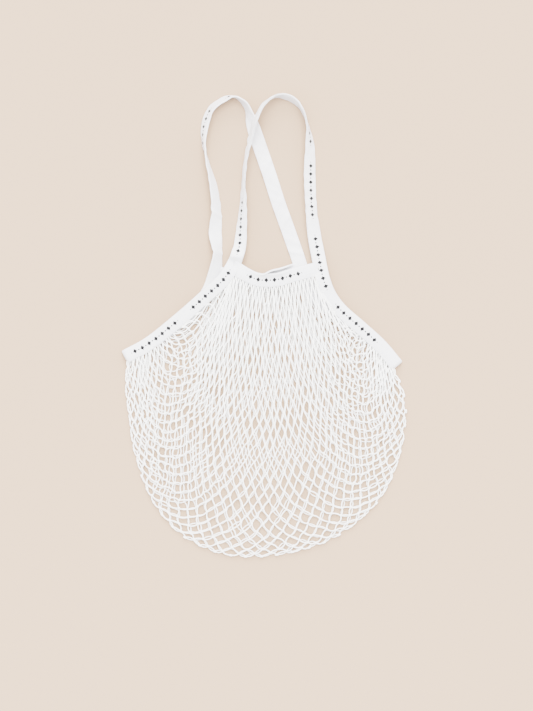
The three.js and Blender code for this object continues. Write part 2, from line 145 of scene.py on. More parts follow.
def spline(rows, count):
    """The centripetal Catmull-Rom curve through rows, the same number of steps from row to row."""
    rows = np.asarray(rows, float)
    ends = np.vstack([2 * rows[0] - rows[1], rows, 2 * rows[-1] - rows[-2]])
    place = np.linspace(0, len(rows) - 1, count)
    k = np.minimum(place.astype(int), len(rows) - 2)
    w = (place - k)[:, None]
    p0, p1, p2, p3 = ends[k], ends[k + 1], ends[k + 2], ends[k + 3]
    d0, d1, d2 = (np.sqrt(np.linalg.norm(b - a, axis=1))[:, None] for a, b in ((p0, p1), (p1, p2), (p2, p3)))
    d1 = np.where(d1 < SAME_PLACE, 1.0, d1)
    d0 = np.where(d0 < SAME_PLACE, d1, d0)
    d2 = np.where(d2 < SAME_PLACE, d1, d2)
    t1 = ((p1 - p0) / d0 - (p2 - p0) / (d0 + d1) + (p2 - p1) / d1) * d1
    t2 = ((p2 - p1) / d1 - (p3 - p1) / (d1 + d2) + (p3 - p2) / d2) * d1
    return p1 + t1 * w + (-3 * p1 + 3 * p2 - 2 * t1 - t2) * w**2 + (2 * p1 - 2 * p2 + t1 + t2) * w**3


def tape_line(points, tilt, bound):
    """A tape's middle line, with the ways across it to its folded edge and out of its outer face."""
    line = spline(points, LINE_STEPS)
    turns = spline(np.column_stack([tilt, bound, 0 * tilt]), LINE_STEPS)
    turn = np.radians(turns[:, 0])
    bound = np.clip(turns[:, 1], 0, 1)
    thick = 2 * (HANDLE_HALF + (BOUND_HALF - HANDLE_HALF) * bound)
    height = 2 * HALF_WIDTH * np.abs(np.sin(turn)) + thick * np.abs(np.cos(turn))
    middle = np.column_stack([line[:, :2] - CENTRE, np.maximum(line[:, 2], 0) + height / 2])
    forward = unit(np.gradient(middle, axis=0))
    left = unit(np.cross([0, 0, 1], forward))
    raised = np.cross(forward, left)
    across = left * np.cos(turn)[:, None] + raised * np.sin(turn)[:, None]
    out = np.cross(forward, across)
    s = lengths_along(middle)
    return dict(middle=middle, forward=forward, across=across, out=out, bound=bound, half=thick / 2, s=s)


def tape_at(tape, s):
    """A tape's line, ways and thickness at the lengths s along it."""
    got = {key: columns_at(s, tape["s"], tape[key]) for key in ("middle", "forward", "across", "out")}
    for key in ("forward", "across", "out"):
        got[key] = unit(got[key])
    for key in ("bound", "half"):
        got[key] = np.interp(s, tape["s"], tape[key])
    return got


def strap(rows):
    """A strap's line, with the lengths at which its handle's two feet are."""
    tape = tape_line(rows[:, :3], rows[:, 3], rows[:, 4])
    handle = np.nonzero(rows[:, 4] == 0)[0]
    steps = (len(tape["s"]) - 1) / (len(rows) - 1)
    tape["feet"] = [tape["s"][int(round(k * steps))] for k in (handle[0] - 1, handle[-1] + 1)]
    return tape


def binding(rows, lift):
    """A binding's line. At its two ends it thins, to go between the straps' two layers."""
    points = np.column_stack([rows[:, :2], np.full(len(rows), lift)])
    tape = tape_line(points, rows[:, 2], np.ones(len(rows)))
    s = tape["s"]
    share = np.minimum(np.minimum(s, s[-1] - s) / TUCK_TAPER, 1.0)
    tape["half"] = TUCK_HALF + (BOUND_HALF - TUCK_HALF) * smoothstep(share)
    return tape


TAPES = {
    "front": strap(FRONT_STRAP),
    "back": strap(BACK_STRAP),
    "front_binding": binding(FRONT_BINDING, FOOT_LIFT),
    "back_binding": binding(BACK_BINDING, 0),
}

# A smooth noise: its waves, the range of their rates, and what their sum is divided by
NOISE_WAVES = 7
NOISE_RATES = (0.5, 1.6)
NOISE_SIZE = 3.0


def smooth_noise(seed, wave):
    """A smooth random function of a length, about -1 to 1, that turns about every wave."""
    rng = np.random.default_rng(seed)
    rates = TAU / wave * rng.uniform(*NOISE_RATES, NOISE_WAVES)
    starts = rng.uniform(0, TAU, NOISE_WAVES)
    return lambda s: np.sin(np.asarray(s)[..., None] * rates + starts).sum(-1) / NOISE_SIZE


def mesh_piece(name, points, faces, uv, caps=None, cap_uv=None):
    """A mesh object from points in millimetres, quads with UVs at their corners, and caps of more corners."""
    mesh = bpy.data.meshes.new(name)
    sizes = np.full(len(faces), faces.shape[1], dtype=np.int32)
    corners = faces.ravel()
    if caps is not None:
        sizes = np.concatenate([sizes, np.full(len(caps), caps.shape[1], dtype=np.int32)])
        corners = np.concatenate([corners, caps.ravel()])
        uv = np.vstack([uv, np.repeat(cap_uv, caps.shape[1], axis=0)])
    mesh.vertices.add(len(points))
    mesh.vertices.foreach_set("co", (np.asarray(points) * MM).astype(np.float32).ravel())
    mesh.loops.add(len(corners))
    mesh.loops.foreach_set("vertex_index", corners.astype(np.int32))
    mesh.polygons.add(len(sizes))
    mesh.polygons.foreach_set("loop_start", np.concatenate([[0], np.cumsum(sizes)[:-1]]).astype(np.int32))
    mesh.polygons.foreach_set("loop_total", sizes)
    layer = mesh.uv_layers.new(name="lay")
    layer.data.foreach_set("uv", uv.astype(np.float32).ravel())
    mesh.polygons.foreach_set("use_smooth", np.full(len(sizes), True))
    mesh.update()
    mesh.validate()
    return placed(name, mesh)


def quad_uv(*corners):
    """The UVs of quads, from the u and v of each of their four corners in turn."""
    return np.stack([np.stack(corner, -1) for corner in corners], axis=-2).reshape(-1, 2)


# Woven tape: its herringbone repeats across it and along it, and groups of marks lie along its outer face
TAPE_STEP = 2.2
WEAVE_REPEAT = 4.5
TWILL_PITCH = 0.95
PICK_PITCH = 0.5
MOTIF_PITCH = 11.0
GROUP_PITCH = 9 * MOTIF_PITCH
GROUP_LENGTH = 7 * MOTIF_PITCH
GROUP_START = 6.0
# Past this place along the ring, the marks lie this much further on, a whole number of the weave's repeats
MARKS_MOVE_FROM = 342.0
MARKS_MOVE_BY = 50 * TWILL_PITCH
# A bare stretch of tape is moved this far across in the weave's pattern, where there are no marks
BARE_SHIFT = 22 * WEAVE_REPEAT

# Unevenness along a tape, each kind with its own seed and wave length
edge_wave = smooth_noise(11, 14.0)
cup = smooth_noise(13, 110.0)
ripple = smooth_noise(14, 7.0)
pucker = smooth_noise(15, 24.0)
slant = smooth_noise(16, 17.0)
slant_back = smooth_noise(17, 26.0)

# Creases across a handle: place, lean of the crease across the tape, depth and width
CREASES = (
    ((-63.3, 150.0), 0.35, 1.2, 2.2),
    ((-61.0, 98.0), 0.1, 0.9, 2.4),
    ((-39.5, 86.0), 0.3, 1.5, 4.4),
    ((46.0, 98.0), -0.5, 1.6, 2.6),
    ((31.0, 140.0), 0.7, 1.5, 2.6),
    ((22.0, 164.0), 0.8, 1.3, 3.0),
    ((5.0, 214.0), 0.7, 1.5, 2.6),
    ((-2.0, 236.0), 0.9, 1.5, 2.8),
    ((66.5, 150.0), -0.4, 0.7, 3.4),
)
# A crease fades out at this reach from its place. The swelling beside it has this share of its depth, is this
# many of its widths away, and is this many times as wide.
CREASE_REACH, CREASE_FADE = 24, 10
SWELL_SHARE, SWELL_AWAY, SWELL_WIDER = 0.45, 2.6, 1.8


def creases(middle, a):
    """The tape's dips at its creases, each with a low swelling beside it."""
    total = np.zeros(a.shape)
    for place, lean, depth, width in CREASES:
        gap = middle[:, None, 1] - place[1] - lean * a
        far = np.linalg.norm(middle[:, :2] - place, axis=1)[:, None]
        near = np.clip((CREASE_REACH - far) / CREASE_FADE, 0, 1)
        swelling = np.exp(-(((gap - SWELL_AWAY * width) / (SWELL_WIDER * width)) ** 2))
        dip = -np.exp(-((gap / width) ** 2)) + SWELL_SHARE * swelling
        total = total + smoothstep(near) * depth * dip
    return total


# The ridge that the front handle's left foot is pushed up into: place, reach and height
FOOT_RIDGE = np.array([-39.0, 92.5])
FOOT_REACH = np.array([11.0, 4.6])
FOOT_HEIGHT = 9.0


def foot_ridge(points):
    gap = ((points[..., :2] - FOOT_RIDGE) / FOOT_REACH) ** 2
    return FOOT_HEIGHT * np.exp(-gap.sum(-1))


# The bindings' folded edges stand up where the mouth gapes. Across the tape, the rise starts at the first of
# these places and takes the second's width. Its height, towards the reverse face, goes by place along x.
CURL_ACROSS = {"front_binding": (1.0, 8.0), "back_binding": (5.2, 1.3)}
NO_CURL = (0.0, 1.0)
CURL_X = (-26.0, -12.0, 4.0, 22.0, 34.0, 43.0)
CURL_HEIGHT = {
    "front_binding": (0.0, -2.6, -4.4, -4.4, -3.0, 0.0),
    "back_binding": (0.0, 10.0, 14.5, 14.5, 11.0, 0.0),
}
# The stitching draws a tape's open edge down on the net, by no more than a share of its half thickness
PRESS_FROM, PRESS_OVER, PRESS_DEPTH, PRESS_LIMIT = 3.0, 5.5, 0.65, 0.4
# Stitches: pitch, place across the tape, the groove that they lie in, places and rises of a stitch's points,
# what is left free at the tape's two ends, and the thread's radius, sides and lowest height
STITCH_PITCH = 3.4
STITCH_ACROSS = -6.9
GROOVE_DEPTH, GROOVE_WIDTH = 0.16, 1.3
STITCH_ALONG = np.array([0.0, 0.35, 1.25, 2.15, 2.5])
STITCH_RISE = np.array([-0.45, 0.12, 0.2, 0.12, -0.45])
STITCH_FREE = (2.0, 3.0)
STITCH_RADIUS = 0.27
STITCH_SIDES = 5
STITCH_LOWEST = 0.3
# A handle's tape is cupped and leans a little, with wrinkles that slant both ways: heights, slants, and the
# second slant's share of the height
CUP_HEIGHT, LEAN_HEIGHT, WRINKLE_HEIGHT = 0.55, 0.2, 0.22
SLANT, SLANT_BACK, SLANT_BACK_SHARE = 0.9, 1.3, 0.6
# The open edge is gathered, less so where it binds nothing, and the gathers fade across the tape
GATHER_HEIGHT, GATHER_FADE, GATHER_FREE, GATHER_BOUND = 0.22, 5.0, 0.35, 0.65
# The faces are a little fuller in the middle, more so on a handle
PUFF, PUFF_FREE = 0.12, 0.16


def face_lift(sections, s, a, side):
    """How far a face of the tape stands out of the tape's middle, at places a across it."""
    half = sections["half"][:, None]
    bound = sections["bound"][:, None]
    free = 1 - bound
    crown = 1 - (a / HALF_WIDTH) ** 2
    cupped = CUP_HEIGHT * cup(s)[:, None] * crown
    leaning = LEAN_HEIGHT * pucker(s)[:, None] * (a / HALF_WIDTH)
    bow = free * (cupped + leaning)
    a = a * np.ones((len(s), 1))
    wrinkle = slant(s[:, None] + SLANT * a) + SLANT_BACK_SHARE * slant_back(s[:, None] - SLANT_BACK * a)
    bow = bow + creases(sections["middle"], a) + WRINKLE_HEIGHT * free * wrinkle
    curl_from, curl_over = sections["curl_across"]
    rise = np.clip((a - curl_from) / curl_over, 0, 1)
    bow = bow - sections["curl"][:, None] * smoothstep(rise)
    near_edge = np.exp(-np.maximum(a + HALF_WIDTH, 0) / GATHER_FADE)
    gathers = GATHER_HEIGHT * ripple(s)[:, None] * near_edge * (GATHER_FREE + GATHER_BOUND * bound)
    groove = GROOVE_DEPTH * np.exp(-(((a - STITCH_ACROSS) / GROOVE_WIDTH) ** 2))
    puff = (PUFF + PUFF_FREE * free) * crown - groove
    pressed = np.clip((-a - PRESS_FROM) / PRESS_OVER, 0, 1)
    press = PRESS_DEPTH * bound * smoothstep(pressed)
    return bow + gathers + side * (half + puff - np.minimum(press, PRESS_LIMIT * half))


# A section: points across a face and round the fold, waviness of the open edge, most share of the half
# thickness in a layer, how far the reverse goes past the face, roundness of the edges, and lowest height
FACE_POINTS = 13
FOLD_POINTS = 9
EDGE_WAVE = 0.28
PLY_LIMIT = 0.8
REVERSE_PAST = 0.5
EDGE_ROUND = 0.25
TAPE_LOWEST = 0.03


def tape_grid(sections, s):
    """Rows of points round the folded strip: outer face, fold, reverse face, and the slot's two sides."""
    half = sections["half"][:, None]
    ply = np.minimum(PLY, PLY_LIMIT * half)
    rows = len(s)
    ones = np.ones((rows, 1))
    wave = EDGE_WAVE * edge_wave(s)[:, None]
    fold_from = HALF_WIDTH - half
    a_out = ones * np.linspace(0, 1, FACE_POINTS)
    a_out = (-HALF_WIDTH - wave) + a_out * (2 * HALF_WIDTH - half + wave)
    o_out = face_lift(sections, s, a_out, 1)
    angles = np.linspace(0, np.pi, FOLD_POINTS)[1:-1]
    a_fold = fold_from + half * np.sin(angles)
    mid = 0.5 * (face_lift(sections, s, fold_from, 1) + face_lift(sections, s, fold_from, -1))
    o_fold = mid + half * np.cos(angles)
    a_in = ones * np.linspace(1, 0, FACE_POINTS)
    a_in = a_in * (2 * HALF_WIDTH - half + REVERSE_PAST) - HALF_WIDTH - REVERSE_PAST
    o_in = face_lift(sections, s, a_in, -1)
    a_low, o_low = a_in[:, ::-1], o_in[:, ::-1] + ply
    a_high, o_high = a_out[:, ::-1], o_out[:, ::-1] - ply
    edge_in = (a_in[:, -1:] - EDGE_ROUND, 0.5 * (o_in[:, -1:] + o_low[:, :1]))
    edge_out = (a_out[:, :1] - EDGE_ROUND, 0.5 * (o_out[:, :1] + o_high[:, -1:]))
    a = np.hstack([a_out, a_fold, a_in, edge_in[0], a_low, a_high, edge_out[0]])
    o = np.hstack([o_out, o_fold, o_in, edge_in[1], o_low, o_high, edge_out[1]])
    points = sections["middle"][:, None, :] + a[..., None] * sections["across"][:, None, :]
    points = points + o[..., None] * sections["out"][:, None, :]
    points[..., 2] = np.maximum(points[..., 2] + foot_ridge(points), TAPE_LOWEST)
    span = np.hypot(np.diff(a, axis=1), np.diff(o, axis=1))
    unrolled = np.concatenate([np.zeros((rows, 1)), np.cumsum(span, axis=1)], axis=1)
    return points, unrolled


# In the UVs: width of the strip that closes a section, and place across of the end faces, clear of the marks
CLOSING_WIDTH = 1.0
CAP_V = 30.0


def tape_piece(name, sections, s, ring, bare=()):
    """A tape's mesh: a ring that joins its own start, or a strip that is closed at both ends."""
    points, unrolled = tape_grid(sections, s)
    rows, count = points.shape[:2]
    strips = rows if ring else rows - 1
    r, c = np.meshgrid(np.arange(strips), np.arange(count), indexing="ij")
    r2, c2 = (r + 1) % rows, (c + 1) % count
    faces = np.stack([r * count + c, r2 * count + c, r2 * count + c2, r * count + c2], axis=-1).reshape(-1, 4)
    step = np.append(s, s[-1] + TAPE_STEP) if ring else s
    widths = np.concatenate([unrolled, unrolled[:, -1:] + CLOSING_WIDTH], axis=1)
    u_a, u_b = step[r], step[r + 1]
    moved = np.where(ring & (u_a > MARKS_MOVE_FROM), MARKS_MOVE_BY, 0.0)
    shift = np.zeros(r.shape)
    for first, last in bare:
        shift = np.where((u_a > first) & (u_a < last), BARE_SHIFT, shift)
    v_a, v_b = widths[r, c] + shift, widths[r, c + 1] + shift
    v_c, v_d = widths[r2, c + 1] + shift, widths[r2, c] + shift
    u_a, u_b = u_a - moved, u_b - moved
    uv = quad_uv((u_a, v_a), (u_b, v_d), (u_b, v_c), (u_a, v_b))
    if not ring:
        caps = []
        for row, turn in ((0, 1), (rows - 1, -1)):
            for k in range(count // 2 - 1):
                quad = [k, k + 1, count - 2 - k, count - 1 - k][::turn]
                caps.append([row * count + n for n in quad])
        faces = np.vstack([faces, np.array(caps)])
        cap_u = np.where(np.arange(len(caps)) < len(caps) // 2, s[0], s[-1])
        uv = np.vstack([uv, np.column_stack([np.repeat(cap_u, 4), np.full(4 * len(caps), CAP_V)])])
    return mesh_piece(name, points.reshape(-1, 3), faces, uv)


CORNER_ANGLES = np.radians([30, 60, 90, 120, 150])[:, None]


def ring_sections():
    """Sections of the whole ring of tape: front strap, right corner, back strap, left corner."""
    parts = []
    for key in ("front", "back"):
        tape = TAPES[key]
        count = int(round(tape["s"][-1] / TAPE_STEP))
        got = tape_at(tape, np.linspace(0, tape["s"][-1], count + 1))
        parts.append(got)
        outward, out = got["forward"][-1], got["out"][-1]
        centre = got["middle"][-1] - CORNER_RADIUS * out
        way = out * np.cos(CORNER_ANGLES) + outward * np.sin(CORNER_ANGLES)
        across = np.repeat(got["across"][-1:], len(way), axis=0)
        parts.append(dict(
            middle=centre + CORNER_RADIUS * way, out=way, across=across,
            bound=np.ones(len(way)), half=np.full(len(way), BOUND_HALF),
        ))
    keys = ("middle", "across", "out", "bound", "half")
    ring = {key: np.concatenate([p[key] for p in parts]) for key in keys}
    ring["curl"] = np.zeros(len(ring["half"]))
    ring["curl_across"] = NO_CURL
    return ring, lengths_along(ring["middle"])


ring, ring_s = ring_sections()
ring_length = ring_s[-1] + np.linalg.norm(ring["middle"][0] - ring["middle"][-1])
front_length = TAPES["front"]["s"][-1]
# Stretches along the ring that show no marks: its start, part of the front handle, and the two corners
BARE_START, BARE_HANDLE = (-1, 4), (292, 440)
BARE_RIGHT, BARE_LEFT = (-26, 13), (-13, 1)
right_corner = [front_length + gap for gap in BARE_RIGHT]
left_corner = [ring_length + gap for gap in BARE_LEFT]
bare = (BARE_START, BARE_HANDLE, right_corner, left_corner)
handle_tape = tape_piece("handle_tape_cloth", ring, ring_s, True, bare)
tape_pieces = {"handle_tape": (handle_tape, ring, ring_s)}
for key in ("front_binding", "back_binding"):
    tape = TAPES[key]
    s = np.linspace(0, tape["s"][-1], int(round(tape["s"][-1] / TAPE_STEP)) + 1)
    sections = tape_at(tape, s)
    sections["curl"] = np.interp(sections["middle"][:, 0], CURL_X, CURL_HEIGHT[key])
    sections["curl_across"] = CURL_ACROSS[key]
    # One group of marks lies in the middle of the binding
    s = s + GROUP_START + GROUP_PITCH + GROUP_LENGTH / 2 - s[-1] / 2
    tape_pieces[key] = (tape_piece(key + "_cloth", sections, s, False), sections, s)


def tube_faces(count, rings, sides):
    """Quads round count tubes, each of rings by sides points, their two end faces, and the quads' places."""
    n, r, c = np.meshgrid(np.arange(count), np.arange(rings - 1), np.arange(sides), indexing="ij")
    near, far, c2 = (n * rings + r) * sides, (n * rings + r + 1) * sides, (c + 1) % sides
    faces = np.stack([near + c, near + c2, far + c2, far + c], axis=-1).reshape(-1, 4)
    base = np.arange(count)[:, None] * rings * sides
    first = base + np.arange(sides)[::-1]
    last = base + (rings - 1) * sides + np.arange(sides)
    return faces, np.vstack([first, last]), (n, r, c)


def tubes(paths, radius, sides):
    """Points and faces of round tubes along paths, an array of paths by steps by 3, closed at both ends."""
    forward = unit(np.gradient(paths, axis=1))
    side = unit(np.cross(forward, [0.0, 0.0, 1.0]))
    up = np.cross(side, forward)
    angles = (np.arange(sides) * TAU / sides)[None, None, :, None]
    circle = side[:, :, None] * np.cos(angles) + up[:, :, None] * np.sin(angles)
    points = (paths[:, :, None] + radius[..., None, None] * circle).reshape(-1, 3)
    return points, *tube_faces(*paths.shape[:2], sides)


def stitch_paths(sections, s, side):
    """The stitches along the open edge of one tape, on one of its faces."""
    starts = np.arange(s[0] + STITCH_FREE[0], s[-1] - STITCH_FREE[1], STITCH_PITCH)
    inside = starts[:, None] + STITCH_ALONG
    flat = inside.ravel()
    got = {key: columns_at(flat, s, sections[key]) for key in ("middle", "across", "out")}
    for key in ("bound", "half", "curl"):
        got[key] = np.interp(flat, s, sections[key])
    got["curl_across"] = sections["curl_across"]
    a = np.full((len(flat), 1), STITCH_ACROSS)
    o = face_lift(got, flat, a, side)[:, 0].reshape(inside.shape)
    o = (o + side * STITCH_RISE).ravel()
    points = got["middle"] + STITCH_ACROSS * got["across"] + o[:, None] * got["out"]
    points[:, 2] = np.maximum(points[:, 2] + foot_ridge(points), STITCH_LOWEST)
    return points.reshape(-1, len(STITCH_ALONG), 3)


stitches = np.concatenate([
    stitch_paths(sections, s, side) for _, sections, s in tape_pieces.values() for side in (1, -1)
])
stitch_tubes = tubes(stitches, np.full(stitches.shape[:2], STITCH_RADIUS), STITCH_SIDES)
stitch_points, stitch_faces, stitch_caps, (_, stitch_r, stitch_c) = stitch_tubes
stitch_uv = quad_uv(*((stitch_r + dr, stitch_c + dc) for dr, dc in ((0, 0), (0, 1), (1, 1), (1, 0))))
stitch_piece = mesh_piece(
    "tape_stitches", stitch_points, stitch_faces, stitch_uv, stitch_caps, np.zeros((len(stitch_caps), 2)),
)

# The net: knots of a square of netting, hung from the tapes and let down inside the bag's outline
# Meshes across it and from edge to edge, a leg's length with its spread and range, and the yarn's radius
ACROSS = 36
AROUND = 30
LEG = 14.4
LEG_SPREAD, LEG_RANGE = 0.1, (0.78, 1.22)
YARN = 0.9
UNITS_I, UNITS_J, FOLD_J = 2 * ACROSS, 2 * AROUND, AROUND
# This share of each slope from the foot counts as the net's top edge, and takes this share of the columns
CORNER_SHARE = 0.5
SLOPE_COLUMNS = 0.13
EDGE_STEPS = 80
SLOPE_STEPS = 60
# The net's edge lies this far across a tape from its middle. Along a binding it starts this far from a foot,
# and its first legs show this share, with a blend over this share of the columns.
RIM_DROP = 6.4
RIM_CLEAR = 3
RIM_LEG = 0.75
RIM_BLEND = 0.05
# Near the fold, this many rows of the front and the back are drawn towards each other
PAIRED_ROWS = 12
# Height of the fold, and points along it
FOLD_HEIGHT = 2.6
FOLD_STEPS = 900


def mouth_edges(face):
    """The net's edge inside the tapes of one face: along the binding, and down the left and right slopes."""
    tape, tight = TAPES[face], TAPES[face + "_binding"]
    slopes = []
    for foot, corner, way in ((tape["feet"][0], 0.0, -1), (tape["feet"][1], tape["s"][-1], 1)):
        got = tape_at(tape, np.linspace(foot, corner, SLOPE_STEPS))
        line = got["middle"] - RIM_DROP * got["across"]
        drop = -1 if face == "front" else 1
        tip = line[-1] + CORNER_RADIUS * (way * got["forward"][-1] + np.array([0, 0, drop]))
        slopes.append(np.vstack([line, tip]))
    left, right = slopes if face == "front" else slopes[::-1]
    middle = tight["middle"] - RIM_DROP * tight["across"]
    middle = middle[::1 if face == "front" else -1]
    inner = (middle[:, 0] > left[0, 0] + RIM_CLEAR) & (middle[:, 0] < right[0, 0] - RIM_CLEAR)
    return middle[inner], left, right


def line_at(points, share):
    s = lengths_along(points)
    return columns_at(np.asarray(share) * s[-1], s, points)


def stretch_of(points, first, last):
    return line_at(points, np.linspace(first, last, EDGE_STEPS))


edges = {}
for face in ("front", "back"):
    middle, left, right = mouth_edges(face)
    up, down = stretch_of(left, CORNER_SHARE, 0), stretch_of(right, 0, CORNER_SHARE)
    top = np.vstack([up, middle, down])
    s = lengths_along(top)
    edges[face] = dict(
        top=top, s=s, marks=[0, s[len(up) - 1], s[len(up) + len(middle)], s[-1]],
        left=stretch_of(left, CORNER_SHARE, 1), right=stretch_of(right, CORNER_SHARE, 1),
    )
tips = [edges["front"]["left"][-1], edges["front"]["right"][-1]]
fold_rows = np.column_stack([FOLD_LINE - CENTRE, np.full(len(FOLD_LINE), FOLD_HEIGHT)])
fold = spline(np.vstack([tips[0], fold_rows, tips[1]]), FOLD_STEPS)
fold = line_at(fold, np.linspace(0, 1, FOLD_STEPS))

# Knots are at every other place of a grid: I counts across the bag, J from the front edge to the back edge
grid_i, grid_j = np.meshgrid(np.arange(UNITS_I + 1), np.arange(UNITS_J + 1), indexing="ij")
is_knot = (grid_i + grid_j) % 2 == 0
number = -np.ones(grid_i.shape, int)
number[is_knot] = np.arange(is_knot.sum())
I, J = grid_i[is_knot], grid_j[is_knot]
on_front = J <= FOLD_J


def first_places():
    """Each knot's place on the patch between its face's edges and the fold, before it is let down."""
    u = I / UNITS_I
    v = np.where(on_front, J, UNITS_J - J) / FOLD_J
    places = np.zeros((len(I), 3))
    for face, mask in (("front", on_front), ("back", ~on_front)):
        edge = edges[face]
        uu, vv = u[mask][:, None], v[mask][:, None]
        shares = [0, SLOPE_COLUMNS, 1 - SLOPE_COLUMNS, 1]
        top = columns_at(np.interp(u[mask], shares, edge["marks"]), edge["s"], edge["top"])
        left, right = line_at(edge["left"], v[mask]), line_at(edge["right"], v[mask])
        bottom = line_at(fold, u[mask])
        places[mask] = (
            (1 - vv) * top + vv * bottom + (1 - uu) * left + uu * right
            - (1 - uu) * (1 - vv) * edge["left"][0] - uu * (1 - vv) * edge["right"][0]
            - (1 - uu) * vv * fold[0] - uu * vv * fold[-1]
        )
    # The 16 makes the arch as high as the loft in the middle
    arch = 16 * u * (1 - u) * v * (1 - v) * FRONT_LOFT
    places[:, 2] += np.where(on_front, arch, -arch)
    return places


start = first_places()
knots = start[:, :2].copy()
height = start[:, 2]
# A leg joins two knots, and a chain is three knots in line
legs, chains = [], []
for di, dj in ((1, 1), (1, -1)):
    ok = (I + di <= UNITS_I) & (J + dj >= 0) & (J + dj <= UNITS_J)
    legs.append(np.column_stack([number[I[ok], J[ok]], number[I[ok] + di, J[ok] + dj]]))
    ok &= (I - di >= 0) & (J - dj >= 0) & (J - dj <= UNITS_J)
    chains.append(np.column_stack([
        number[I[ok] - di, J[ok] - dj], number[I[ok], J[ok]], number[I[ok] + di, J[ok] + dj],
    ]))
legs, chains = np.vstack(legs), np.vstack(chains)
free = (I > 0) & (I < UNITS_I) & (J > 0) & (J < UNITS_J)
fold_knots = np.nonzero((J == FOLD_J) & free)[0]
beside_fold = np.nonzero((np.abs(J - FOLD_J) == 1) & free)[0]
near_fold = np.nonzero((J != FOLD_J) & (np.abs(J - FOLD_J) <= PAIRED_ROWS) & free)[0]
partner = number[I[near_fold], 2 * FOLD_J - J[near_fold]]
rng = np.random.default_rng(29)
rest = LEG * np.clip(rng.normal(1, LEG_SPREAD, len(legs)), *LEG_RANGE)
# The first meshes below a binding are caught in it, so less than their whole legs shows
leg_i, leg_j = I[legs], J[legs]
leg_u = leg_i.mean(1) / UNITS_I
leg_row = np.minimum(leg_j.min(1), UNITS_J - leg_j.max(1))
at_binding = np.clip((np.minimum(leg_u, 1 - leg_u) - SLOPE_COLUMNS) / RIM_BLEND + 0.5, 0, 1)
rest *= np.where(leg_row == 0, 1 - (1 - RIM_LEG) * at_binding, 1.0)
legs_at = np.maximum(np.bincount(legs.ravel(), minlength=len(I)), 1)

# The row beside the fold lies this far inside it, at the sides and at the bottom, with a blend between by y
INSET_SIDE = 2.0
INSET_BOTTOM = 3.6
INSET_FROM_Y, INSET_OVER_Y = -230, 70
fold_way = unit(np.gradient(fold[:, :2], axis=0))
fold_in = np.column_stack([-fold_way[:, 1], fold_way[:, 0]])
# The outline as a reach at each angle round a hub well inside it
HUB = np.array([0.0, -100.0])
rim_way = fold[:, :2] - HUB
rim_angle = np.unwrap(np.arctan2(rim_way[:, 1], rim_way[:, 0]))
rim_order = np.argsort(rim_angle)
rim_angle, rim_reach = rim_angle[rim_order], np.linalg.norm(rim_way, axis=1)[rim_order]


def inside_outline(places):
    """The places, with those outside the fold line brought back to it along the way to the hub."""
    way = places - HUB
    angle = np.arctan2(way[:, 1], way[:, 0])
    angle = np.where(angle < rim_angle[0], angle + TAU, angle)
    angle = np.where(angle > rim_angle[-1], angle - TAU, angle)
    reach = np.linalg.norm(way, axis=1)
    limit = np.interp(angle, rim_angle, rim_reach)
    facing = (angle >= rim_angle[0]) & (angle <= rim_angle[-1])
    return HUB + way * np.where(facing & (reach > limit), limit / reach, 1.0)[:, None]


def summed(at, moves):
    """The sum of the moves of each knot, where at says whose move each one is."""
    return np.column_stack([np.bincount(at, moves[:, c], len(I)) for c in range(2)])


def nearest_on(line, points):
    return np.argmin(((points[:, None] - line[None]) ** 2).sum(2), axis=1)


# Letting down: the rounds, and in each the pull to the bottom and a drift by noises slanting over the bag
ROUNDS = 600
PULL = 0.09
DRIFT_SEEDS, DRIFT_WAVE = (31, 32, 33, 34), 90.0
DRIFT_SLANTS = (0.6, -0.5, 0.3, -0.4)
DRIFT_X, DRIFT_Y = 0.065, 0.045
# In a round, a leg takes up these shares of what it is too long or too short by, times a gain
TIGHT_SHARE, SLACK_SHARE = 0.95, 0.06
LEG_GAIN = 2.2
SHORTEST = 1e-6
# In a round, a knot goes these shares of the way to its chains' middles, to the fold or to the row beside it
STRAIGHTEN = 0.05
TO_FOLD = 0.5
TO_INSET = 0.2
FOLD_SKIP = 3
# The two layers keep together near the fold, less with each row from it, and more on the bag's right
TOGETHER = 0.15
TOGETHER_ROWS = 3.0
TOGETHER_X, TOGETHER_OVER, TOGETHER_RANGE = 10, 60, (0.04, 0.5)


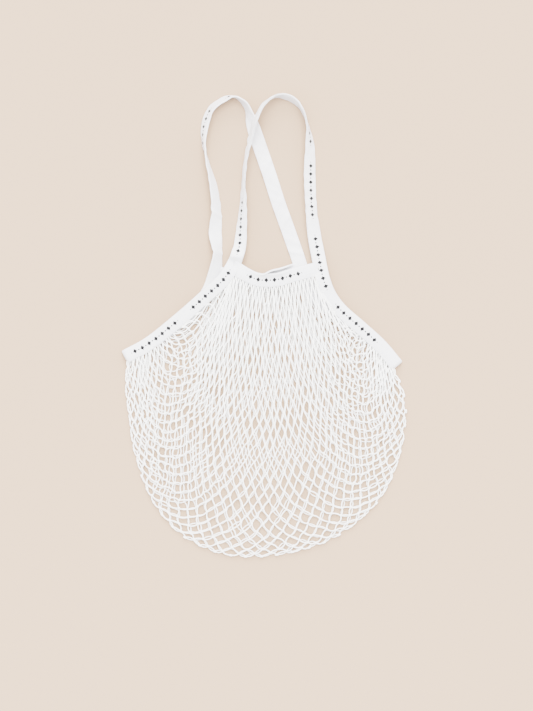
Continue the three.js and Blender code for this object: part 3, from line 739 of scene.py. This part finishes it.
def let_down(places):
    """Lets the knots slide until no leg is much longer than its yarn, pulled gently towards the bottom."""
    waves = [smooth_noise(seed, DRIFT_WAVE) for seed in DRIFT_SEEDS]
    slants = DRIFT_SLANTS
    rows_off = np.abs(J[near_fold] - FOLD_J)
    line, inward = fold[::FOLD_SKIP, :2], fold_in[::FOLD_SKIP]
    for _ in range(ROUNDS):
        x, y = places[:, 0], places[:, 1]
        drift_x = np.where(on_front, waves[0](y + slants[0] * x), waves[1](y + slants[1] * x))
        drift_y = np.where(on_front, waves[2](x + slants[2] * y), waves[3](x + slants[3] * y))
        places[free] += np.column_stack([DRIFT_X * drift_x, DRIFT_Y * drift_y - PULL])[free]
        way = places[legs[:, 1]] - places[legs[:, 0]]
        length = np.maximum(np.linalg.norm(way, axis=1), SHORTEST)
        over = length - rest
        move = (np.where(over > 0, TIGHT_SHARE, SLACK_SHARE) * over / length * 0.5)[:, None] * way
        push = (summed(legs[:, 0], move) - summed(legs[:, 1], move)) / legs_at[:, None] * LEG_GAIN
        places[free] += push[free]
        bend = 0.5 * (places[chains[:, 0]] + places[chains[:, 2]]) - places[chains[:, 1]]
        places[free] += STRAIGHTEN * summed(chains[:, 1], bend)[free]
        target = line[nearest_on(line, places[fold_knots])]
        places[fold_knots] += TO_FOLD * (target - places[fold_knots])
        closest = nearest_on(line, places[beside_fold])
        at_bottom = np.clip((INSET_FROM_Y - line[closest, 1]) / INSET_OVER_Y, 0, 1)
        inset = INSET_SIDE + (INSET_BOTTOM - INSET_SIDE) * at_bottom
        target = line[closest] + inset[:, None] * inward[closest]
        places[beside_fold] += TO_INSET * (target - places[beside_fold])
        matched = np.exp(-(rows_off - 1) / TOGETHER_ROWS)
        matched *= np.clip((places[near_fold, 0] + TOGETHER_X) / TOGETHER_OVER, *TOGETHER_RANGE)
        matched = np.where(rows_off == 1, 1.0, matched)
        places[near_fold] += (TOGETHER * matched)[:, None] * (places[partner] - places[near_fold])
        places[free] = inside_outline(places)[free]
    return places


# Scatter of the knots, the front's lowest and the back's range of heights, and rows that ease to the fold's
KNOT_JITTER = 0.4
FRONT_LOWEST = 3.9
BACK_HEIGHTS = (1.35, 2.1)
EASE_ROWS = 2.0
knots = let_down(knots)
knots[free] += rng.normal(0, KNOT_JITTER, knots.shape)[free]
layer = np.where(on_front, np.maximum(height, FRONT_LOWEST), np.clip(height, *BACK_HEIGHTS))
layer = np.where(free, layer, height)
ease = np.minimum(np.abs(J - FOLD_J) / EASE_ROWS, 1.0)
layer = np.where(free, FOLD_HEIGHT + (layer - FOLD_HEIGHT) * ease, layer)
places = np.column_stack([knots, layer])

# Each leg leaves its knots along the way that the knot is pulled, so that the meshes are pointed ovals.
# Pull at the fold, how far a leg turns to the pull, and how far aside of a knot's middle it starts:
FOLD_PULLED = 0.95
TURN_SHARE = 0.8
STRAND_ASIDE = 0.75
way = unit(knots[legs[:, 1]] - knots[legs[:, 0]])
products = np.column_stack([way[:, 0] ** 2, way[:, 1] ** 2, way[:, 0] * way[:, 1]])
spread = np.zeros((len(I), 3))
for end in (0, 1):
    np.add.at(spread, legs[:, end], products)
lean = 0.5 * np.arctan2(2 * spread[:, 2], spread[:, 0] - spread[:, 1])
main = np.column_stack([np.cos(lean), np.sin(lean)])
pulled = np.hypot(spread[:, 0] - spread[:, 1], 2 * spread[:, 2]) / legs_at
main[fold_knots] = fold_way[nearest_on(fold[:, :2], knots[fold_knots])]
pulled[fold_knots] = FOLD_PULLED


def leg_end(end, sign):
    """Where each leg's end meets its knot, and the way that the leg runs there."""
    knot = legs[:, end]
    axis, share = main[knot], pulled[knot][:, None]
    own = way * sign
    along = (own * axis).sum(1, keepdims=True)
    aside = own - along * axis
    tangent = unit(own * (1 - TURN_SHARE * share) + TURN_SHARE * share * np.sign(along) * axis)
    point = places[knot].copy()
    point[:, :2] += STRAND_ASIDE * share * unit(aside)
    return point, np.column_stack([tangent * sign, np.zeros(len(knot))])


# A leg: points along it and round it, limit of its slack, share and limit of its sag, spread of its rise, and
# clearance below it
LEG_STEPS = 7
SIDES = 7
SLACK_LIMIT, SAG_SHARE, SAG_LIMIT = 0.35, 0.4, 1.5
RISE_SPREAD = 0.25
YARN_CLEAR = 0.05
p0, t0 = leg_end(0, 1)
p1, t1 = leg_end(1, -1)
span = np.linalg.norm(p1 - p0, axis=1)[:, None]
w = np.linspace(0, 1, LEG_STEPS)[None, :, None]
h00, h10 = 2 * w**3 - 3 * w**2 + 1, w**3 - 2 * w**2 + w
h01, h11 = -2 * w**3 + 3 * w**2, w**3 - w**2
paths = h00 * p0[:, None] + h10 * (span * t0)[:, None] + h01 * p1[:, None] + h11 * (span * t1)[:, None]
slack = np.clip(rest[:, None] / np.maximum(span, 1.0) - 1, 0, SLACK_LIMIT)
# A slack yarn could bow by the span times the root of three eighths of its slack. It takes a share of that.
sag = np.minimum(span * np.sqrt(3 / 8 * slack) * SAG_SHARE, SAG_LIMIT)
bow = sag * rng.choice([-1.0, 1.0], len(legs))[:, None]
side = np.column_stack([-way[:, 1], way[:, 0], np.zeros(len(legs))])
paths = paths + (bow * side)[:, None] * np.sin(np.pi * w)
paths[..., 2] += RISE_SPREAD * np.sin(np.pi * w[..., 0]) * rng.uniform(-1, 1, len(legs))[:, None]
paths[..., 2] = np.maximum(paths[..., 2], YARN + YARN_CLEAR)
leg_front = leg_j.mean(1) <= FOLD_J
leg_right = leg_i.mean(1) > ACROSS
# Range of the legs' thickness, and of the places where their twist starts
YARN_RANGE = (0.92, 1.08)
PLY_START = 40


def yarn_piece(name, which):
    """The legs of one quarter of the net, as tubes of yarn."""
    chosen = paths[which]
    thick = YARN * rng.uniform(*YARN_RANGE, len(chosen))[:, None] * np.ones(LEG_STEPS)
    points, faces, caps, (n, r, c) = tubes(chosen, thick, SIDES)
    steps = np.linalg.norm(np.diff(chosen, axis=1), axis=2)
    along = np.concatenate([np.zeros((len(chosen), 1)), np.cumsum(steps, axis=1)], axis=1)
    along = along + rng.uniform(0, PLY_START, len(chosen))[:, None]
    turn = TAU * YARN / SIDES
    near, far = along[n, r], along[n, r + 1]
    uv = quad_uv((near, c * turn), (near, (c + 1) * turn), (far, (c + 1) * turn), (far, c * turn))
    cap_uv = np.column_stack([np.concatenate([along[:, 0], along[:, -1]]), np.zeros(2 * len(chosen))])
    return mesh_piece(name, points, faces, uv, caps, cap_uv)


net_pieces = []
for face, is_face in (("front", leg_front), ("back", ~leg_front)):
    for half, is_half in (("left", ~leg_right), ("right", leg_right)):
        net_pieces.append(yarn_piece(f"net_{face}_{half}", is_face & is_half))

# Knots: short wrapped swellings where legs meet, drawn out along the pull
KNOT_RINGS = np.array([-1.0, -0.8, -0.4, 0.0, 0.4, 0.8, 1.0])
KNOT_GIRTH = np.array([0.25, 0.72, 0.98, 1.0, 0.98, 0.72, 0.25])
KNOT_SIDES = 9
KNOT_REACH, KNOT_REACH_PULLED = 1.5, 1.3
KNOT_WIDTH, KNOT_WIDTH_PULLED = 1.75, 0.15
KNOT_HEIGHT = 1.45
KNOT_TWIST = 1.1
LOBES, LOBE_DEPTH = 3, 0.1
KNOT_LOWEST = 0.05
KNOT_U, KNOT_V = 0.8, 0.9


def knot_piece(name, which):
    """The knots of one layer of the net."""
    centre = places[which]
    axis = np.column_stack([main[which], np.zeros(which.sum())])
    beside = axis[:, [1, 0, 2]] * (-1, 1, 1)
    reach = KNOT_REACH + KNOT_REACH_PULLED * pulled[which]
    wide = KNOT_WIDTH - KNOT_WIDTH_PULLED * pulled[which]
    angles = np.arange(KNOT_SIDES) * TAU / KNOT_SIDES
    twist = KNOT_RINGS[:, None] * KNOT_TWIST + angles
    lobes = 1 + LOBE_DEPTH * np.cos(LOBES * angles)
    round_x = KNOT_GIRTH[:, None] * lobes * np.cos(twist)
    round_z = KNOT_GIRTH[:, None] * lobes * np.sin(twist)
    lengthwise = KNOT_RINGS[None, :, None] * reach[:, None, None]
    points = centre[:, None, None] + lengthwise[..., None] * axis[:, None, None]
    points = points + (round_x[None] * wide[:, None, None])[..., None] * beside[:, None, None]
    points[..., 2] += round_z[None] * KNOT_HEIGHT
    points[..., 2] = np.maximum(points[..., 2], KNOT_LOWEST)
    faces, caps, (_, r, c) = tube_faces(len(centre), len(KNOT_RINGS), KNOT_SIDES)
    u, u2, v, v2 = r * KNOT_U, (r + 1) * KNOT_U, c * KNOT_V, (c + 1) * KNOT_V
    uv = quad_uv((u, v), (u2, v), (u2, v2), (u, v2))
    # A knot's rings turn the other way round than a tube's, so its faces do too
    faces, caps = faces[:, [0, 3, 2, 1]], caps[:, ::-1]
    return mesh_piece(name, points.reshape(-1, 3), faces, uv, caps, np.zeros((len(caps), 2)))


knots_front = knot_piece("net_knots_front", free & on_front)
knots_back = knot_piece("net_knots_back", free & ~on_front)


# Materials
SHEEN_ROUGHNESS = 0.5
SPECULAR_LEVEL = 0.25


class Nodes:
    """Short calls for building a material's node tree."""

    def __init__(self, name):
        self.material = bpy.data.materials.new(name)
        self.material.use_nodes = True
        self.tree = self.material.node_tree
        self.shader = self.tree.nodes["Principled BSDF"]

    def node(self, kind, **sockets):
        made = self.tree.nodes.new(kind)
        for name, value in sockets.items():
            self.put(made.inputs[name.replace("_", " ")], value)
        return made

    def put(self, socket, value):
        if isinstance(value, bpy.types.NodeSocket):
            self.tree.links.new(value, socket)
        else:
            socket.default_value = value

    def maths(self, operation, *values):
        made = self.tree.nodes.new("ShaderNodeMath")
        made.operation = operation
        for socket, value in zip(made.inputs, values):
            self.put(socket, value)
        return made.outputs[0]

    def weighted(self, first, first_weight, second, second_weight):
        """The sum of two values, each times its weight."""
        first = self.maths("MULTIPLY", first, first_weight)
        return self.maths("ADD", first, self.maths("MULTIPLY", second, second_weight))

    def mix(self, share, first, second):
        made = self.tree.nodes.new("ShaderNodeMix")
        made.data_type = "RGBA"
        self.put(made.inputs["Factor"], share)
        self.put(made.inputs[6], first)
        self.put(made.inputs[7], second)
        return made.outputs[2]

    def ramp(self, value, low, high):
        made = self.node("ShaderNodeMapRange", Value=value, From_Min=low, From_Max=high)
        made.interpolation_type = "SMOOTHSTEP"
        return made.outputs[0]

    def shade(self, first, second, shading):
        """A share from 0 to 1, where shading is the weights of two values and the range of their sum."""
        return self.ramp(self.weighted(first, shading[0], second, shading[1]), *shading[2:])

    def noise(self, scale, detail):
        place = self.tree.nodes.new("ShaderNodeTexCoord").outputs["Object"]
        made = self.node("ShaderNodeTexNoise", Scale=scale, Detail=detail, Vector=place)
        return made.outputs["Fac"]

    def lay(self):
        made = self.tree.nodes.new("ShaderNodeUVMap")
        made.uv_map = "lay"
        split = self.node("ShaderNodeSeparateXYZ", Vector=made.outputs["UV"])
        return split.outputs["X"], split.outputs["Y"]

    def bump(self, height, strength, distance):
        made = self.node("ShaderNodeBump", Strength=strength, Distance=distance, Height=height)
        self.put(self.shader.inputs["Normal"], made.outputs["Normal"])

    def finish(self, colour, roughness, sheen):
        looks = {
            "Base Color": colour, "Roughness": roughness, "Sheen Weight": sheen,
            "Sheen Roughness": SHEEN_ROUGHNESS, "Specular IOR Level": SPECULAR_LEVEL,
        }
        for name, value in looks.items():
            self.put(self.shader.inputs[name], value)
        return self.material


WHITE_TAPE = (0.81, 0.81, 0.825, 1.0)
# The darker colour of the tape and the thread: random tone, and on the tape also a painted shade in the
# weave's low places
TAPE_TONE_AND_SHADE = (0.69, 0.69, 0.715, 1.0)
INK = (0.0045, 0.0047, 0.0058, 1.0)
WHITE_YARN = (0.95, 0.945, 0.93, 1.0)
# The yarn's darker colour: a painted shade in the grooves between its plies, and random tone
YARN_TONE_AND_SHADE = (0.88, 0.875, 0.855, 1.0)
FLOOR_DARK = (0.429, 0.2905, 0.2125, 1)
FLOOR_LIGHT = (0.439, 0.2985, 0.2195, 1)
# Scales of the noise: frayed ink, slubs and broad unevenness of the tape, then yarn, thread and floor
INK_FRAY, SLUB, TAPE_BROAD = 1500.0, 900.0, 28.0
YARN_FUZZ, YARN_BROAD = 1400.0, 45.0
THREAD_GRAIN = 2500.0
FLOOR_GRAIN, FLOOR_BROAD = 160.0, 1.1
# Marks: the distances from its middle at which a lozenge or a dot ends and is full, the weight of a lozenge's
# distances across the tape, and how frayed the edges are
LOZENGE_EDGE, LOZENGE_ACROSS = (3.15, 2.75), 0.85
DOT_EDGE = (1.15, 0.8)
FRAY = 0.9
# Yarn: length of a turn of its plies, and how they lean
NET_TWIST, KNOT_YARN_TWIST, TWIST_LEAN = 2.4, 1.6, 0.7
# What each pattern adds to a surface's height, and how two patterns set a colour. On the tape and the yarn,
# the low places of the weave and the plies come out darker, a painted shade. The noises give random tone.
TWILL_HEIGHT, PICK_HEIGHT, SLUB_HEIGHT = 0.5, 0.2, 0.8
PLY_HEIGHT, FUZZ_HEIGHT = 0.5, 0.9
TAPE_SHADING = (0.35, 0.9, 0.1, 1.0)
YARN_SHADING = (0.4, 0.8, 0.1, 0.95)
FLOOR_SHADING = (0.7, 0.3, 0.2, 0.8)
# Bumps: strength, and height in metres
TAPE_BUMP, YARN_BUMP = (0.55, 0.00022), (0.7, 0.0003)
THREAD_BUMP, FLOOR_BUMP = (0.5, 0.0001), (0.04, 0.0005)
# Roughness, with how much a pattern adds to it, and sheen
TAPE_ROUGH, YARN_ROUGH, PATTERN_ROUGH, THREAD_ROUGH, FLOOR_ROUGH = 0.72, 0.78, 0.2, 0.6, 0.9
SLUB_RANGE = (-0.4, 1.3)
TAPE_SHEEN, YARN_SHEEN, THREAD_SHEEN, FLOOR_SHEEN = 0.2, 0.8, 0.1, 0.0


def tape_material(name):
    """White herringbone tape, with painted shade in its weave's low places and a plain row of small lozenges
    and dots woven into the outer face.
    """
    n = Nodes(name)
    u, v = n.lay()
    chevron = n.maths("ADD", u, n.maths("PINGPONG", v, WEAVE_REPEAT / 2))
    twill = n.maths("SINE", n.maths("MULTIPLY", chevron, TAU / TWILL_PITCH))
    picks = n.maths("SINE", n.maths("MULTIPLY", u, TAU / PICK_PITCH))
    slub = n.noise(SLUB, 2.0)
    broad = n.noise(TAPE_BROAD, 3.0)
    weave = n.weighted(twill, TWILL_HEIGHT, picks, PICK_HEIGHT)
    weave = n.maths("ADD", weave, n.maths("MULTIPLY", slub, SLUB_HEIGHT))
    # The colour is darker where the weave is low, a painted shade in its hollows. The broad noise gives
    # random tone.
    colour = n.mix(n.shade(weave, broad, TAPE_SHADING), TAPE_TONE_AND_SHADE, WHITE_TAPE)
    start = n.maths("SUBTRACT", u, GROUP_START)
    along = n.maths("SUBTRACT", n.maths("FLOORED_MODULO", start, MOTIF_PITCH), MOTIF_PITCH / 2)
    along = n.maths("ABSOLUTE", along)
    grouped = n.maths("LESS_THAN", n.maths("FLOORED_MODULO", start, GROUP_PITCH), GROUP_LENGTH)
    aside = n.maths("ABSOLUTE", n.maths("SUBTRACT", v, HALF_WIDTH))
    wobble = n.maths("MULTIPLY", n.maths("SUBTRACT", n.noise(INK_FRAY, 1.0), 0.5), FRAY)
    lozenge = n.maths("ADD", along, n.maths("MULTIPLY", aside, LOZENGE_ACROSS))
    lozenge = n.ramp(n.maths("ADD", lozenge, wobble), *LOZENGE_EDGE)
    from_dot = n.maths("SUBTRACT", MOTIF_PITCH / 2, along)
    dot = n.maths("SQRT", n.maths("ADD", n.maths("POWER", from_dot, 2.0), n.maths("POWER", aside, 2.0)))
    dot = n.ramp(n.maths("ADD", dot, wobble), *DOT_EDGE)
    marks = n.maths("MULTIPLY", n.maths("MAXIMUM", lozenge, dot), grouped)
    colour = n.mix(marks, colour, INK)
    n.bump(weave, *TAPE_BUMP)
    rough = n.maths("MULTIPLY", n.ramp(slub, *SLUB_RANGE), PATTERN_ROUGH)
    return n.finish(colour, n.maths("ADD", rough, TAPE_ROUGH), TAPE_SHEEN)


def yarn_material(name, twist):
    """Soft white yarn, with its plies turning round it once in every twist along it, and painted shade in the
    grooves between them.
    """
    n = Nodes(name)
    u, v = n.lay()
    lay = n.maths("ADD", u, n.maths("MULTIPLY", v, TWIST_LEAN))
    ply = n.maths("SINE", n.maths("MULTIPLY", lay, TAU / twist))
    fuzz = n.noise(YARN_FUZZ, 3.0)
    broad = n.noise(YARN_BROAD, 2.0)
    weave = n.weighted(ply, PLY_HEIGHT, fuzz, FUZZ_HEIGHT)
    # The colour is darker between the plies, a painted shade in the grooves. The fuzz and the broad noise
    # give random tone.
    colour = n.mix(n.shade(weave, broad, YARN_SHADING), YARN_TONE_AND_SHADE, WHITE_YARN)
    n.bump(weave, *YARN_BUMP)
    rough = n.maths("ADD", n.maths("MULTIPLY", fuzz, PATTERN_ROUGH), YARN_ROUGH)
    return n.finish(colour, rough, YARN_SHEEN)


def thread_material():
    n = Nodes("stitch_thread")
    grain = n.noise(THREAD_GRAIN, 2.0)
    n.bump(grain, *THREAD_BUMP)
    return n.finish(n.mix(grain, TAPE_TONE_AND_SHADE, WHITE_TAPE), THREAD_ROUGH, THREAD_SHEEN)


def floor_material():
    n = Nodes("floor_paper")
    broad = n.noise(FLOOR_BROAD, 2.0)
    grain = n.noise(FLOOR_GRAIN, 3.0)
    colour = n.mix(n.shade(broad, grain, FLOOR_SHADING), FLOOR_DARK, FLOOR_LIGHT)
    n.bump(grain, *FLOOR_BUMP)
    return n.finish(colour, FLOOR_ROUGH, FLOOR_SHEEN)


cloths = [piece for piece, _, _ in tape_pieces.values()]
net_and_knots = [*net_pieces, knots_front, knots_back]
for pieces, material in (
    (cloths, tape_material("tape_cloth")),
    (net_pieces, yarn_material("net_yarn", NET_TWIST)),
    ([knots_front, knots_back], yarn_material("knot_yarn", KNOT_YARN_TWIST)),
    ([stitch_piece], thread_material()),
):
    for piece in pieces:
        piece.data.materials.append(material)

# Floor and light
FLOOR_REACH_M = 6.0
WORLD_STRENGTH = 0.55
# Suns, both from the picture's top: name, strength, angle that the sun spans, and turns
SUNS = (
    ("key", 1.5, 0.8, (-0.3, 0.03, 0.0)),
    ("low", 0.8, 0.5, (-1.05, 0.02, 0.0)),
)
EXPOSURE = 2.2

floor_mesh = bpy.data.meshes.new("floor")
floor_corners = [(x * FLOOR_REACH_M, y * FLOOR_REACH_M, 0) for x, y in ((-1, -1), (1, -1), (1, 1), (-1, 1))]
floor_mesh.from_pydata(floor_corners, [], [(0, 1, 2, 3)])
floor = placed("floor", floor_mesh)
floor_mesh.materials.append(floor_material())

world = bpy.data.worlds.new("studio")
world.use_nodes = True
background = world.node_tree.nodes["Background"]
background.inputs["Color"].default_value = (1.0, 1.0, 1.0, 1.0)
background.inputs["Strength"].default_value = WORLD_STRENGTH
scene.world = world
for name, strength, angle, turns in SUNS:
    sun_data = bpy.data.lights.new(name, "SUN")
    sun_data.energy = strength
    sun_data.angle = angle
    placed(name, sun_data).rotation_euler = turns
view = scene.view_settings
view.view_transform = "Filmic"
view.look = "None"
view.exposure = EXPOSURE

# What each piece is. A sheet's flat sizes are in metres, and a net's area is half of its yarn's surface.
for piece in (*cloths, stitch_piece, *net_and_knots):
    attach(piece, "root")
for node, (piece, _, _) in tape_pieces.items():
    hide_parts(node)
for piece in net_and_knots:
    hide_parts("net")
for node in ("front_binding", "back_binding"):
    piece, _, s = tape_pieces[node]
